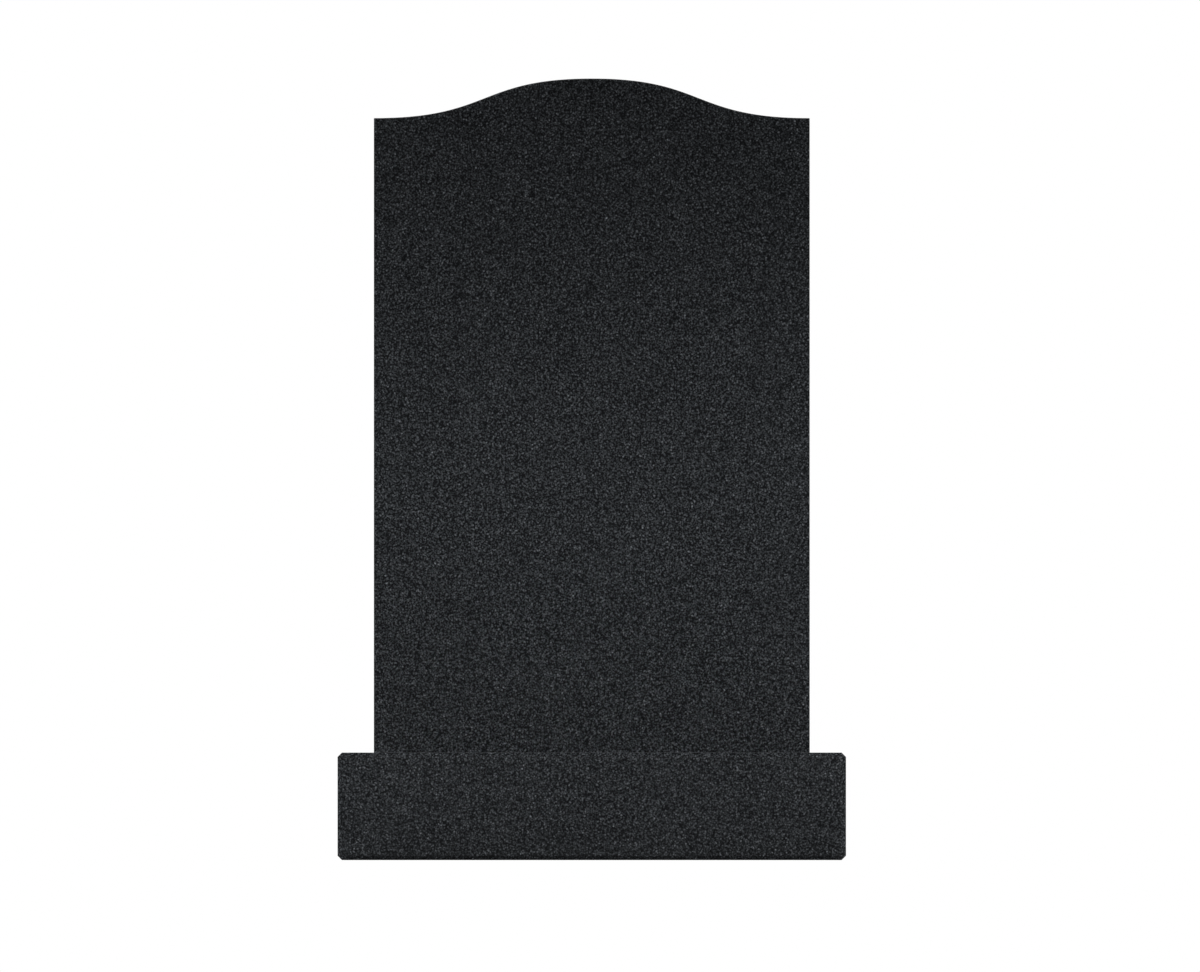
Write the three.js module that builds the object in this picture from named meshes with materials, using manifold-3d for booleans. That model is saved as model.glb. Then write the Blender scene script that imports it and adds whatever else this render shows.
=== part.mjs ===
// Granite headstone: an upright tablet with an ogee top, standing on a chamfered base block.
// Millimetres, +Z up. The front faces -Y. The origin is on the ground, under the middle of the base.
import * as THREE from "three";
import { mergeVertices } from "three/addons/utils/BufferGeometryUtils.js";
import Module from "manifold-3d";

const wasm = await Module();
wasm.setup();

// Tablet: the upright slab. The shoulders are the two low outer corners of its top, and the arris is the
// small flat that eases each sharp edge.
const TABLET_WIDTH = 600;
const TABLET_THICKNESS = 80;
const SHOULDER_HEIGHT = 873.5;
const TABLET_ARRIS = 1;

// Ogee: the S-curve that climbs from each shoulder to the crown in the middle. It leaves both ends level.
// Each fullness is the length of the curve's level handle at that end, as a share of half the width.
const OGEE_RISE = 54.5;
const CROWN_FULLNESS = 0.522;
const SHOULDER_FULLNESS = 0.541;
const OGEE_STEPS = 48;

// Base block: how far it stands out past the tablet's ends and faces, its height, and its edges' chamfer.
const END_LEDGE = 50;
const FACE_LEDGE = 60;
const BASE_HEIGHT = 148;
const BASE_CHAMFER = 6;

const BASE_WIDTH = TABLET_WIDTH + 2 * END_LEDGE;
const BASE_DEPTH = TABLET_THICKNESS + 2 * FACE_LEDGE;

// Dark grey granite, a touch blue, polished. The base reads a little lighter than the tablet.
const TABLET_COLOUR = 0x26292b;
const BASE_COLOUR = 0x282b2d;
const POLISH_ROUGHNESS = 0.2;

// A closed geometry as a manifold-3d solid, for a cut or an intersection.
function toSolid(geometry) {
  const bare = geometry.clone();
  bare.deleteAttribute("normal");
  bare.deleteAttribute("uv");
  const merged = mergeVertices(bare);
  return new wasm.Manifold(
    new wasm.Mesh({
      numProp: 3,
      vertProperties: merged.getAttribute("position").array,
      triVerts: new Uint32Array(merged.index.array),
    }),
  );
}

// A manifold-3d solid back as a flat-shaded geometry.
function toGeometry(solid) {
  const mesh = solid.getMesh();
  const indexed = new THREE.BufferGeometry();
  indexed.setAttribute("position", new THREE.BufferAttribute(mesh.vertProperties, 3));
  indexed.setIndex(new THREE.BufferAttribute(mesh.triVerts, 1));
  const flat = indexed.toNonIndexed();
  flat.computeVertexNormals();
  return flat;
}

// The tablet's front outline from y = foot up, with the corner of each shoulder eased by the arris.
function tabletOutline(foot) {
  const half = TABLET_WIDTH / 2;
  const low = SHOULDER_HEIGHT;
  const crown = SHOULDER_HEIGHT + OGEE_RISE;
  const shoulder = half - TABLET_ARRIS;
  const shoulderHandle = shoulder - SHOULDER_FULLNESS * half;
  const crownHandle = CROWN_FULLNESS * half;
  const outline = new THREE.Shape();
  outline.moveTo(-half, foot);
  outline.lineTo(half, foot);
  outline.lineTo(half, low - TABLET_ARRIS);
  outline.lineTo(shoulder, low);
  outline.bezierCurveTo(shoulderHandle, low, crownHandle, crown, 0, crown);
  outline.bezierCurveTo(-crownHandle, crown, -shoulderHandle, low, -shoulder, low);
  outline.lineTo(-half, low - TABLET_ARRIS);
  outline.closePath();
  return outline;
}

// The slab is extruded with its arrises on, a little too long at the foot, and sawn off square there,
// so that the edges that meet the base stay sharp.
function tabletGeometry() {
  const slab = new THREE.ExtrudeGeometry(tabletOutline(-2 * TABLET_ARRIS), {
    depth: TABLET_THICKNESS - 2 * TABLET_ARRIS,
    curveSegments: OGEE_STEPS,
    bevelSegments: 1,
    bevelThickness: TABLET_ARRIS,
    bevelSize: TABLET_ARRIS,
    bevelOffset: -TABLET_ARRIS,
  });
  slab.translate(0, 0, TABLET_ARRIS - TABLET_THICKNESS / 2);
  slab.rotateX(Math.PI / 2);
  const offcut = new THREE.BoxGeometry(2 * TABLET_WIDTH, 2 * TABLET_THICKNESS, 4 * TABLET_ARRIS);
  offcut.translate(0, 0, -2 * TABLET_ARRIS);
  return toGeometry(toSolid(slab).subtract(toSolid(offcut)));
}

// A bar along z. Its section is a rectangle with the base's chamfer cut off each corner at 45 degrees.
function chamferedBar(width, height, length) {
  const x = width / 2;
  const y = height / 2;
  const section = new THREE.Shape();
  section.moveTo(BASE_CHAMFER - x, -y);
  section.lineTo(x - BASE_CHAMFER, -y);
  section.lineTo(x, BASE_CHAMFER - y);
  section.lineTo(x, y - BASE_CHAMFER);
  section.lineTo(x - BASE_CHAMFER, y);
  section.lineTo(BASE_CHAMFER - x, y);
  section.lineTo(-x, y - BASE_CHAMFER);
  section.lineTo(-x, BASE_CHAMFER - y);
  section.closePath();
  const bar = new THREE.ExtrudeGeometry(section, { depth: length, bevelEnabled: false });
  bar.translate(0, 0, -length / 2);
  return bar;
}

// The block is what three bars at right angles share, so all twelve edges carry the same true chamfer.
// Each bar is longer than the block, so that only the other two set the size along it.
function baseGeometry() {
  const fromAbove = chamferedBar(BASE_WIDTH, BASE_DEPTH, 2 * BASE_HEIGHT);
  const frontOn = chamferedBar(BASE_WIDTH, BASE_HEIGHT, 2 * BASE_DEPTH).rotateX(Math.PI / 2);
  const endOn = chamferedBar(BASE_HEIGHT, BASE_DEPTH, 2 * BASE_WIDTH).rotateY(Math.PI / 2);
  return toGeometry(toSolid(fromAbove).intersect(toSolid(frontOn)).intersect(toSolid(endOn)));
}

function granite(color) {
  return new THREE.MeshStandardMaterial({ color, roughness: POLISH_ROUGHNESS, metalness: 0 });
}

const base = new THREE.Mesh(baseGeometry(), granite(BASE_COLOUR));
base.name = "base_block";
base.position.z = BASE_HEIGHT / 2;

const tablet = new THREE.Mesh(tabletGeometry(), granite(TABLET_COLOUR));
tablet.name = "tablet";
tablet.position.z = BASE_HEIGHT;

const headstone = new THREE.Group();
headstone.add(base, tablet);

export default headstone;
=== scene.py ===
import itertools
import math

import bmesh
import bpy
from mathutils import Matrix, Vector
from mathutils.geometry import interpolate_bezier


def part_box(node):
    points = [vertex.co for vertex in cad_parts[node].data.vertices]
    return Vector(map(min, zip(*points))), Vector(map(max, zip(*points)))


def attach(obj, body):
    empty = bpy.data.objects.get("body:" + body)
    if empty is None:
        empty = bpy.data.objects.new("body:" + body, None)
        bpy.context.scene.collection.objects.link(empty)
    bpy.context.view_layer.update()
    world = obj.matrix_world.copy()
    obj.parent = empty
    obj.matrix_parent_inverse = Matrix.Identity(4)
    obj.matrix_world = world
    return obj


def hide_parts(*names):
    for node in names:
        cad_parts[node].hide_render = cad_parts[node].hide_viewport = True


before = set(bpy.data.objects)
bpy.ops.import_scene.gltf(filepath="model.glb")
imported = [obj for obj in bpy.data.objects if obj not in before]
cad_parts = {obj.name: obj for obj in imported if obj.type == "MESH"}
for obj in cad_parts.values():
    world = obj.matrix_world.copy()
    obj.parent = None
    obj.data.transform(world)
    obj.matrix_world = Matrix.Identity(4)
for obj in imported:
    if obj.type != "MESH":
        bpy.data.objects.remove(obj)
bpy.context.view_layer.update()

# Sizes that the frame's boxes don't give. Each fullness is the length of the ogee's level handle at that
# end, as a share of half the tablet's width.
OGEE_RISE = 0.0545
CROWN_FULLNESS = 0.522
SHOULDER_FULLNESS = 0.541
OGEE_POINTS = 49
ARRIS = 0.001
ARRIS_STEPS = 3
BASE_CHAMFER = 0.006
CHAMFER_EASE = 0.0003
EASE_STEPS = 2
SOLID_TOLERANCE = 1e-7

# Edges that turn by more than the sharp angle are eased. The front and the back are the faces whose normals
# have more than the facing share along Y.
SHARP_ANGLE = math.radians(30)
FACING = 0.5

# How the photograph frames the stone, in its own pixels, and where the camera stands.
PHOTO_WIDTH = 1200
PHOTO_HEIGHT = 972
TABLET_LEFT = 373.88
TABLET_RIGHT = 809.69
GROUND_ROW = 860.08
CAMERA_DISTANCE = 4
CAMERA_REACH = 200

# Colours are linear red, green and blue.
WHITE = (1, 1, 1, 1)
PALE_FLOOR = (0.85, 0.85, 0.85, 1)
DARK_TINT = (0.914, 1.0, 1.082, 1)
PALE_TINT = (0.931, 1.0, 1.089, 1)

# The floor. The copy that the polish mirrors has a share of its brightness, and fades out to its rim.
FLOOR_RADIUS = 60
FLOOR_HEIGHT = -0.0006
MIRRORED_FLOOR_RADIUS = 3.0
MIRRORED_FLOOR_HEIGHT = -0.0005
MIRRORED_FLOOR_SHARE = 0.25
MIRRORED_FLOOR_FADES_FROM = 0.6
FLOOR_SEGMENTS = 64
MATT = {"Roughness": 0.9, "Specular_IOR_Level": 0.0}

# The room's brightness: all round, in the polish, and to look at below the floor. The horizon is where its
# walls turn from that grey to white, as the sine of the angle above the level of the eye.
ROOM_LIGHT = 0.25
ROOM_IN_THE_POLISH = 0.9
UNDER_THE_FLOOR = 0.64
HORIZON = (-0.03, -0.01)

# The granite's tones, and the place in the rock that each piece was cut from.
TABLET_TONE = 0.0297
TABLET_BED = (0, 0, 0)
BASE_TONE = 0.0349
BASE_BED = (2.3, 1.1, 0.7)

# The ways that the granite's pale laths lie, and how far each set is moved from the one before.
LATHS_LIE = ((0.85, 0.35, 0.4), (0.2, -0.6, 0.77), (-0.65, 0.3, 0.7), (-0.15, 0.95, -0.25))
LATH_STEP = (0.37, 0.19, 0.53)
FLECK_SHIFT = (0.31, 0.77, 0.13)

# The sizes of the granite's grain, and the unit lengths of its noise.
LATH_LENGTH = 0.005
LATH_WIDTH = 0.0031
GROUND_CRYSTAL = 0.0022
FLECK = 0.0027
CRYSTAL_SCATTER = 0.88
SHAKE = 0.0014
SHAKE_UNIT = (0.002, 0.002, 0.002)
FINE_UNIT = (0.0007, 0.0007, 0.0007)
CLOUD_UNIT = (0.08, 0.08, 0.08)
SAW_UNIT = (0.9, 0.05, 0.004)
NOISE_ROUGHNESS = 0.5
NOISE_MIDDLE = 0.5

# Where laths and flecks end, in crystals from the middle, and which few crystals are flecks.
LATH_EDGE = (0.1, 0.5)
LATH_FAINTEST = 0.5
FLECK_EDGE = (0.25, 0.5)
FLECK_FEW = (0.86, 0.97)

# What each part of the grain adds to its lightness as the eye sees it, and the power that makes that light.
GROUND_LIGHTNESS = 0.54
CRYSTAL_LIGHTNESS = 0.14
LATH_LIGHTNESS = 0.67
FLECK_LIGHTNESS = 0.4
EYE_TO_LIGHT = 2.2

# How far the tone swings with the clouds, the finest grain and the saw traces, and what honing adds to it.
CLOUD_SWING = 0.2
FINE_SWING = 0.6
SAW_SWING = 1.4
HONED_LIFT = 0.2

# The surface: its gloss, its relief, and how far in from the back and underside the honing reaches.
GRANITE_IOR = 1.5
POLISHED_ROUGHNESS = 0.08
LATH_ROUGHNESS = 0.05
HONED_ROUGHNESS = 0.35
RELIEF = 0.00002
LATH_RELIEF = 0.3
HONED_RELIEF = 2
HONED_WHOLLY = 0.0002
HONED_AT_ALL = 0.0005

# The Mix node's own numbers for its two colours and its mixed colour.
FIRST_COLOUR = 6
SECOND_COLOUR = 7
MIXED_COLOUR = 2


class Value:
    """A node's output in a finish. Sums and products of it add the Math nodes that work them out."""

    def __init__(self, finish, socket):
        self.finish = finish
        self.socket = socket

    def _maths(self, operation, first, second):
        return self.finish.node("ShaderNodeMath", {"operation": operation}, {0: first, 1: second})

    def __add__(self, other):
        return self._maths("ADD", self, other)

    def __radd__(self, other):
        return self._maths("ADD", other, self)

    def __sub__(self, other):
        return self._maths("SUBTRACT", self, other)

    def __rsub__(self, other):
        return self._maths("SUBTRACT", other, self)

    def __mul__(self, other):
        return self._maths("MULTIPLY", self, other)

    def __rmul__(self, other):
        return self._maths("MULTIPLY", other, self)

    def __pow__(self, other):
        return self._maths("POWER", self, other)

    def larger(self, other):
        return self._maths("MAXIMUM", self, other)


class Finish:
    """The nodes of a material or of the room round the stone, and the patterns that they draw."""

    def __init__(self, owner):
        owner.use_nodes = True
        self.owner = owner
        self.tree = owner.node_tree

    def node(self, kind, settings=None, sockets=None, output=0):
        """Adds a node: its settings first, then the values and links of its sockets."""
        made = self.tree.nodes.new(kind)
        for name, value in (settings or {}).items():
            setattr(made, name, value)
        for key, value in (sockets or {}).items():
            self.feed(made.inputs[key], value)
        return Value(self, made.outputs[output])

    def feed(self, socket, value):
        if isinstance(value, Value):
            self.tree.links.new(value.socket, socket)
        else:
            socket.default_value = value

    def set(self, **inputs):
        """Values and links of the surface shader. An underscore stands for a space."""
        for name, value in inputs.items():
            self.feed(self.tree.nodes["Principled BSDF"].inputs[name.replace("_", " ")], value)

    def here(self):
        return self.node("ShaderNodeTexCoord", output="Object")

    def split(self, vector, axis):
        return self.node("ShaderNodeSeparateXYZ", None, {0: vector}, axis)

    def place(self, point, unit, turn=(0, 0, 0), shift=(0, 0, 0)):
        """A point in a pattern's own frame, which is turned and shifted and has unit lengths of its own."""
        sockets = {"Vector": point, "Location": shift, "Rotation": turn, "Scale": unit}
        return self.node("ShaderNodeMapping", {"vector_type": "TEXTURE"}, sockets)

    def noise(self, point, unit, detail, output="Fac"):
        where = self.place(point, unit)
        sockets = {"Vector": where, "Scale": 1.0, "Detail": detail, "Roughness": NOISE_ROUGHNESS}
        return self.node("ShaderNodeTexNoise", {"noise_dimensions": "3D"}, sockets, output)

    def between(self, value, low, high):
        """0 below low, 1 above high, and a smooth step from one to the other."""
        settings = {"interpolation_type": "SMOOTHSTEP", "clamp": True}
        sockets = {"Value": value, "From Min": low, "From Max": high, "To Min": 0.0, "To Max": 1.0}
        return self.node("ShaderNodeMapRange", settings, sockets)

    def vectors(self, operation, first, second):
        return self.node("ShaderNodeVectorMath", {"operation": operation}, {0: first, 1: second})

    def times(self, vector, value):
        """A colour or a vector times a plain value."""
        return self.node("ShaderNodeVectorMath", {"operation": "SCALE"}, {0: vector, "Scale": value})

    def distance(self, point):
        """How far a point is from the origin."""
        return self.node("ShaderNodeVectorMath", {"operation": "LENGTH"}, {0: point}, "Value")

    def mixed(self, amount, first, second):
        """One colour that turns into another as the amount goes from 0 to 1."""
        sockets = {"Factor": amount, FIRST_COLOUR: first, SECOND_COLOUR: second}
        return self.node("ShaderNodeMix", {"data_type": "RGBA"}, sockets, MIXED_COLOUR)

    def crystals(self, point, length, width, along=(1, 0, 0), shift=(0, 0, 0)):
        """A set of crystals that all lie one way: the distance from each point to the middle of its
        crystal, in crystals, and a number from 0 to 1 that is that crystal's own."""
        turn = Vector(along).to_track_quat("X", "Z").to_euler()
        where = self.place(point, (length, width, width), turn, shift)
        settings = {"voronoi_dimensions": "3D", "feature": "F1"}
        sockets = {"Vector": where, "Scale": 1.0, "Randomness": CRYSTAL_SCATTER}
        distance = self.node("ShaderNodeTexVoronoi", settings, sockets, "Distance")
        colour = Value(self, distance.socket.node.outputs["Color"])
        return distance, self.node("ShaderNodeSeparateColor", None, {0: colour}, "Red")


def about_one(pattern, swing):
    """A pattern from 0 to 1 as a factor that swings about 1."""
    return 1 - swing / 2 + swing * pattern


def granite(name, tone, bed, box):
    """Fine dark granite: pale feldspar laths that lie all ways in a dark ground of small crystals, with a
    few bright flecks. It is polished, but the back and the underside are only honed after the saw."""
    f = Finish(bpy.data.materials.new(name))
    here = f.vectors("ADD", f.here(), bed)
    wander = f.noise(here, SHAKE_UNIT, detail=1.0, output="Color")
    shake = f.times(f.vectors("SUBTRACT", wander, (NOISE_MIDDLE,) * 3), SHAKE)
    ragged = f.vectors("ADD", here, shake)
    ground = f.crystals(ragged, GROUND_CRYSTAL, GROUND_CRYSTAL)[1]
    laths = 0
    for number, along in enumerate(LATHS_LIE):
        start = [number * step for step in LATH_STEP]
        distance, own = f.crystals(ragged, LATH_LENGTH, LATH_WIDTH, along, start)
        bright = LATH_FAINTEST + (1 - LATH_FAINTEST) * own
        laths = laths + (1 - f.between(distance, *LATH_EDGE)) * bright
    distance, own = f.crystals(ragged, FLECK, FLECK, shift=FLECK_SHIFT)
    flecks = (1 - f.between(distance, *FLECK_EDGE)) * f.between(own, *FLECK_FEW)
    cloud = f.noise(here, CLOUD_UNIT, detail=3.0)
    fine = f.noise(here, FINE_UNIT, detail=1.0)
    lightness = GROUND_LIGHTNESS + CRYSTAL_LIGHTNESS * ground + LATH_LIGHTNESS * laths
    grain = (lightness + FLECK_LIGHTNESS * flecks) ** EYE_TO_LIGHT
    shade = grain * about_one(cloud, CLOUD_SWING) * about_one(fine, FINE_SWING)
    foot, back = box[0].z, box[1].y
    behind = f.between(f.split(f.here(), "Y"), back - HONED_AT_ALL, back - HONED_WHOLLY)
    under = 1 - f.between(f.split(f.here(), "Z"), foot + HONED_WHOLLY, foot + HONED_AT_ALL)
    honed = behind.larger(under)
    saw = f.noise(here, SAW_UNIT, detail=2.0)
    dull = 1 + honed * (HONED_LIFT + SAW_SWING * (saw - NOISE_MIDDLE))
    relief = LATH_RELIEF * laths + honed * (HONED_RELIEF * saw + HONED_RELIEF * fine)
    sockets = {"Strength": 1.0, "Distance": RELIEF, "Height": relief}
    f.set(
        Base_Color=f.times(f.mixed(laths, DARK_TINT, PALE_TINT), tone * shade * dull),
        Roughness=POLISHED_ROUGHNESS + LATH_ROUGHNESS * laths + HONED_ROUGHNESS * honed,
        IOR=GRANITE_IOR,
        Normal=f.node("ShaderNodeBump", None, sockets, "Normal"),
    )
    return f.owner


def made_of(name, bm, finish):
    """Turns a finished bmesh into an object at the origin that wears its finish."""
    mesh = bpy.data.meshes.new(name)
    bm.to_mesh(mesh)
    bm.free()
    mesh.materials.append(finish)
    made = bpy.data.objects.new(name, mesh)
    bpy.context.scene.collection.objects.link(made)
    return made


def stone_piece(name, bm, finish, node):
    """Turns a finished bmesh into the piece that stands for a node of the frame."""
    piece = made_of(name, bm, finish)
    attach(piece, "root")
    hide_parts(node)
    return piece


def ease(bm, edges, width, steps):
    """Rounds edges over by a small width. The new round faces are shaded smooth among themselves, and
    sharp against the faces that they meet."""
    eased = bmesh.ops.bevel(
        bm,
        geom=edges,
        offset=width,
        offset_type="OFFSET",
        segments=steps,
        profile=0.5,
        affect="EDGES",
        material=-1,
        clamp_overlap=True,
    )
    rounded = set(eased["faces"])
    for face in rounded:
        face.smooth = True
    for edge in bm.edges:
        edge.smooth = len(rounded.intersection(edge.link_faces)) != 1


def tablet():
    """The upright slab: its front outline, drawn out to the back and eased on every edge but the foot's."""
    low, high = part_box("tablet")
    half, front, crown = high.x, low.y, high.z
    shoulder = crown - OGEE_RISE
    ogee = interpolate_bezier(
        Vector((half, front, shoulder)),
        Vector((half - SHOULDER_FULLNESS * half, front, shoulder)),
        Vector((CROWN_FULLNESS * half, front, crown)),
        Vector((0, front, crown)),
        OGEE_POINTS,
    )
    mirrored = [Vector((-p.x, p.y, p.z)) for p in reversed(ogee[:-1])]
    foot = [Vector((-half, front, low.z)), Vector((half, front, low.z))]
    bm = bmesh.new()
    outline = [bm.verts.new(point) for point in foot + ogee + mirrored]
    face = bm.faces.new(outline)
    drawn = bmesh.ops.extrude_face_region(bm, geom=[face], use_keep_orig=True)
    back = [item for item in drawn["geom"] if isinstance(item, bmesh.types.BMVert)]
    bmesh.ops.translate(bm, vec=(0, high.y - low.y, 0), verts=back)
    bmesh.ops.recalc_face_normals(bm, faces=bm.faces)
    for face in bm.faces:
        face.smooth = face.calc_center_median().z > shoulder and abs(face.normal.y) < FACING
    sharp = [
        edge
        for edge in bm.edges
        if edge.calc_face_angle() > SHARP_ANGLE and max(v.co.z for v in edge.verts) > low.z
    ]
    ease(bm, sharp, ARRIS, ARRIS_STEPS)
    finish = granite("polished_tablet_granite", TABLET_TONE, TABLET_BED, (low, high))
    return stone_piece("ogee_tablet", bm, finish, "tablet")


def plane_off(bm, point, normal):
    """Cuts away what lies beyond a plane and closes the cut with one flat face."""
    everything = bm.verts[:] + bm.edges[:] + bm.faces[:]
    cut = bmesh.ops.bisect_plane(
        bm,
        geom=everything,
        dist=SOLID_TOLERANCE,
        plane_co=point,
        plane_no=normal,
        clear_outer=True,
    )
    rim = [item for item in cut["geom_cut"] if isinstance(item, bmesh.types.BMEdge)]
    bmesh.ops.edgeloop_fill(bm, edges=rim)


def base_block():
    """The base: a block with a true 45 degree chamfer planed on each of its twelve edges."""
    low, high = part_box("base_block")
    middle = (low + high) / 2
    size = high - low
    bm = bmesh.new()
    bmesh.ops.create_cube(bm, size=1.0, matrix=Matrix.Translation(middle) @ Matrix.Diagonal(size.to_4d()))
    for first, second in itertools.combinations(range(3), 2):
        for signs in itertools.product((-1, 1), repeat=2):
            normal = Vector((0, 0, 0))
            normal[first], normal[second] = signs
            edge = middle + normal * size / 2
            plane_off(bm, edge - normal * BASE_CHAMFER / 2, normal)
    bmesh.ops.recalc_face_normals(bm, faces=bm.faces)
    ease(bm, bm.edges[:], CHAMFER_EASE, EASE_STEPS)
    finish = granite("polished_base_granite", BASE_TONE, BASE_BED, (low, high))
    return stone_piece("chamfered_base", bm, finish, "base_block")


def disc(name, radius, height, finish):
    """A flat round sheet on the ground, which is no part of the stone."""
    bm = bmesh.new()
    middle = Matrix.Translation((0, 0, height))
    bmesh.ops.create_circle(bm, cap_ends=True, segments=FLOOR_SEGMENTS, radius=radius, matrix=middle)
    sheet = made_of(name, bm, finish)
    return sheet


def floor():
    """A wide pale floor just under the base. The polish mirrors a smaller copy that fades out away from
    the stone, because a floor out to the horizon would haze the upright faces."""
    pale = Finish(bpy.data.materials.new("pale_floor"))
    pale.set(Base_Color=PALE_FLOOR, **MATT)
    wide = disc("floor", FLOOR_RADIUS, FLOOR_HEIGHT, pale.owner)
    wide.visible_glossy = False
    fading = Finish(bpy.data.materials.new("mirrored_floor"))
    away = fading.distance(fading.here())
    fade = 1 - fading.between(away, MIRRORED_FLOOR_FADES_FROM, MIRRORED_FLOOR_RADIUS)
    fading.set(Base_Color=fading.times(PALE_FLOOR[:3], MIRRORED_FLOOR_SHARE * fade), **MATT)
    near = disc("mirrored_floor", MIRRORED_FLOOR_RADIUS, MIRRORED_FLOOR_HEIGHT, fading.owner)
    near.visible_camera = False
    near.visible_diffuse = False
    near.visible_shadow = False


def softbox(name, place, target, width, height, power, spread):
    """A soft panel light that looks from its place towards a target. Its spread is in degrees, and a
    narrower one is a deeper grid on the panel."""
    data = bpy.data.lights.new(name, "AREA")
    data.shape = "RECTANGLE"
    data.size = width
    data.size_y = height
    data.energy = power
    data.spread = math.radians(spread)
    lamp = bpy.data.objects.new(name, data)
    lamp.location = place
    lamp.rotation_euler = (Vector(target) - Vector(place)).to_track_quat("-Z", "Y").to_euler()
    lamp.visible_camera = False
    bpy.context.scene.collection.objects.link(lamp)
    return lamp


def far_light(name, place, strength, angle):
    """Even light from a wide round panel far off, which lights the floor as evenly as the stone. The angle
    is how wide the panel looks from the stone, in degrees."""
    data = bpy.data.lights.new(name, "SUN")
    data.energy = strength
    data.angle = math.radians(angle)
    lamp = bpy.data.objects.new(name, data)
    lamp.rotation_euler = Vector(place).to_track_quat("Z", "Y").to_euler()
    bpy.context.scene.collection.objects.link(lamp)
    return lamp


def keep_to(lamps, name, pieces):
    """Lets lamps light nothing but some pieces."""
    group = bpy.data.collections.new(name)
    for piece in pieces:
        group.objects.link(piece)
    for lamp in lamps:
        lamp.light_linking.receiver_collection = group


def room():
    """A room that is white to look at, and as grey as the floor below that. The light that it gives comes
    from a soft band halfway up its walls, and fades out at the level of the eye and overhead."""
    f = Finish(bpy.data.worlds.new("room"))
    bpy.context.scene.world = f.owner
    height = f.split(f.node("ShaderNodeTexCoord", output="Generated"), "Z")
    rise = height.larger(0)
    level = rise * rise
    band = 4 * level * (1 - level)
    above = f.between(height, *HORIZON)
    behind = UNDER_THE_FLOOR + (1 - UNDER_THE_FLOOR) * above
    seen = f.node("ShaderNodeBackground", None, {"Color": WHITE, "Strength": behind})
    polish = f.node("ShaderNodeLightPath", output="Is Glossy Ray")
    strength = band * (ROOM_LIGHT + (ROOM_IN_THE_POLISH - ROOM_LIGHT) * polish)
    felt = f.node("ShaderNodeBackground", None, {"Color": WHITE, "Strength": strength})
    looking = f.node("ShaderNodeLightPath", output="Is Camera Ray")
    walls = f.node("ShaderNodeMixShader", None, {0: looking, 1: felt, 2: seen})
    f.feed(f.tree.nodes["World Output"].inputs["Surface"], walls)


def studio(upright, base):
    """Plain soft light. Three panels in front shape the tone of the upright faces. They light the stone
    alone, so that the floor stays even. A low strip gives the tablet's foot what the dark ledge of the base
    keeps from it. All lamps are kept out of the polish, which mirrors the room and the floor."""
    room()
    panels = [
        softbox("front_light", (0, -2.4, 1.2), (0, 0, 0.5), width=2.4, height=0.3, power=0.72, spread=18),
        softbox("low_light", (0, -1.6, 0.2), (0, 0, 0.1), width=2.0, height=0.2, power=3.1, spread=90),
        softbox("high_light", (0, -0.9, 2.4), (0, 0, 0.1), width=2.4, height=0.3, power=2.4, spread=35),
    ]
    far = [
        far_light("skylight", (0, 0, 1), strength=0.4, angle=60),
        far_light("left_light", (-1, 0.35, 0.3), strength=2.6, angle=50),
        far_light("right_light", (1, 0.35, 0.3), strength=2.6, angle=50),
    ]
    foot = (0, -0.04, 0.138)
    strip = softbox("foot_light", (0, -1.1, 0.3), foot, width=1.2, height=0.03, power=0.055, spread=7)
    keep_to(panels, "stone", (upright, base))
    keep_to([strip], "upright", (upright,))
    for lamp in panels + far + [strip]:
        lamp.visible_glossy = False


def camera():
    """A square-on view without perspective, framed as the photograph is."""
    left, right = (corner.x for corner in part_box("tablet"))
    metres_per_pixel = (right - left) / (TABLET_RIGHT - TABLET_LEFT)
    tablet_column = (TABLET_LEFT + TABLET_RIGHT) / 2
    data = bpy.data.cameras.new("camera")
    data.type = "ORTHO"
    data.ortho_scale = PHOTO_WIDTH * metres_per_pixel
    data.clip_end = CAMERA_REACH
    eye = bpy.data.objects.new("camera", data)
    eye.location = (
        (PHOTO_WIDTH / 2 - tablet_column) * metres_per_pixel,
        -CAMERA_DISTANCE,
        (GROUND_ROW - PHOTO_HEIGHT / 2) * metres_per_pixel,
    )
    eye.rotation_euler = (math.pi / 2, 0, 0)
    bpy.context.scene.collection.objects.link(eye)
    bpy.context.scene.camera = eye


upright = tablet()
base = base_block()
floor()
studio(upright, base)
camera()
bpy.context.scene.view_settings.view_transform = "Standard"

bpy.context.view_layer.update()
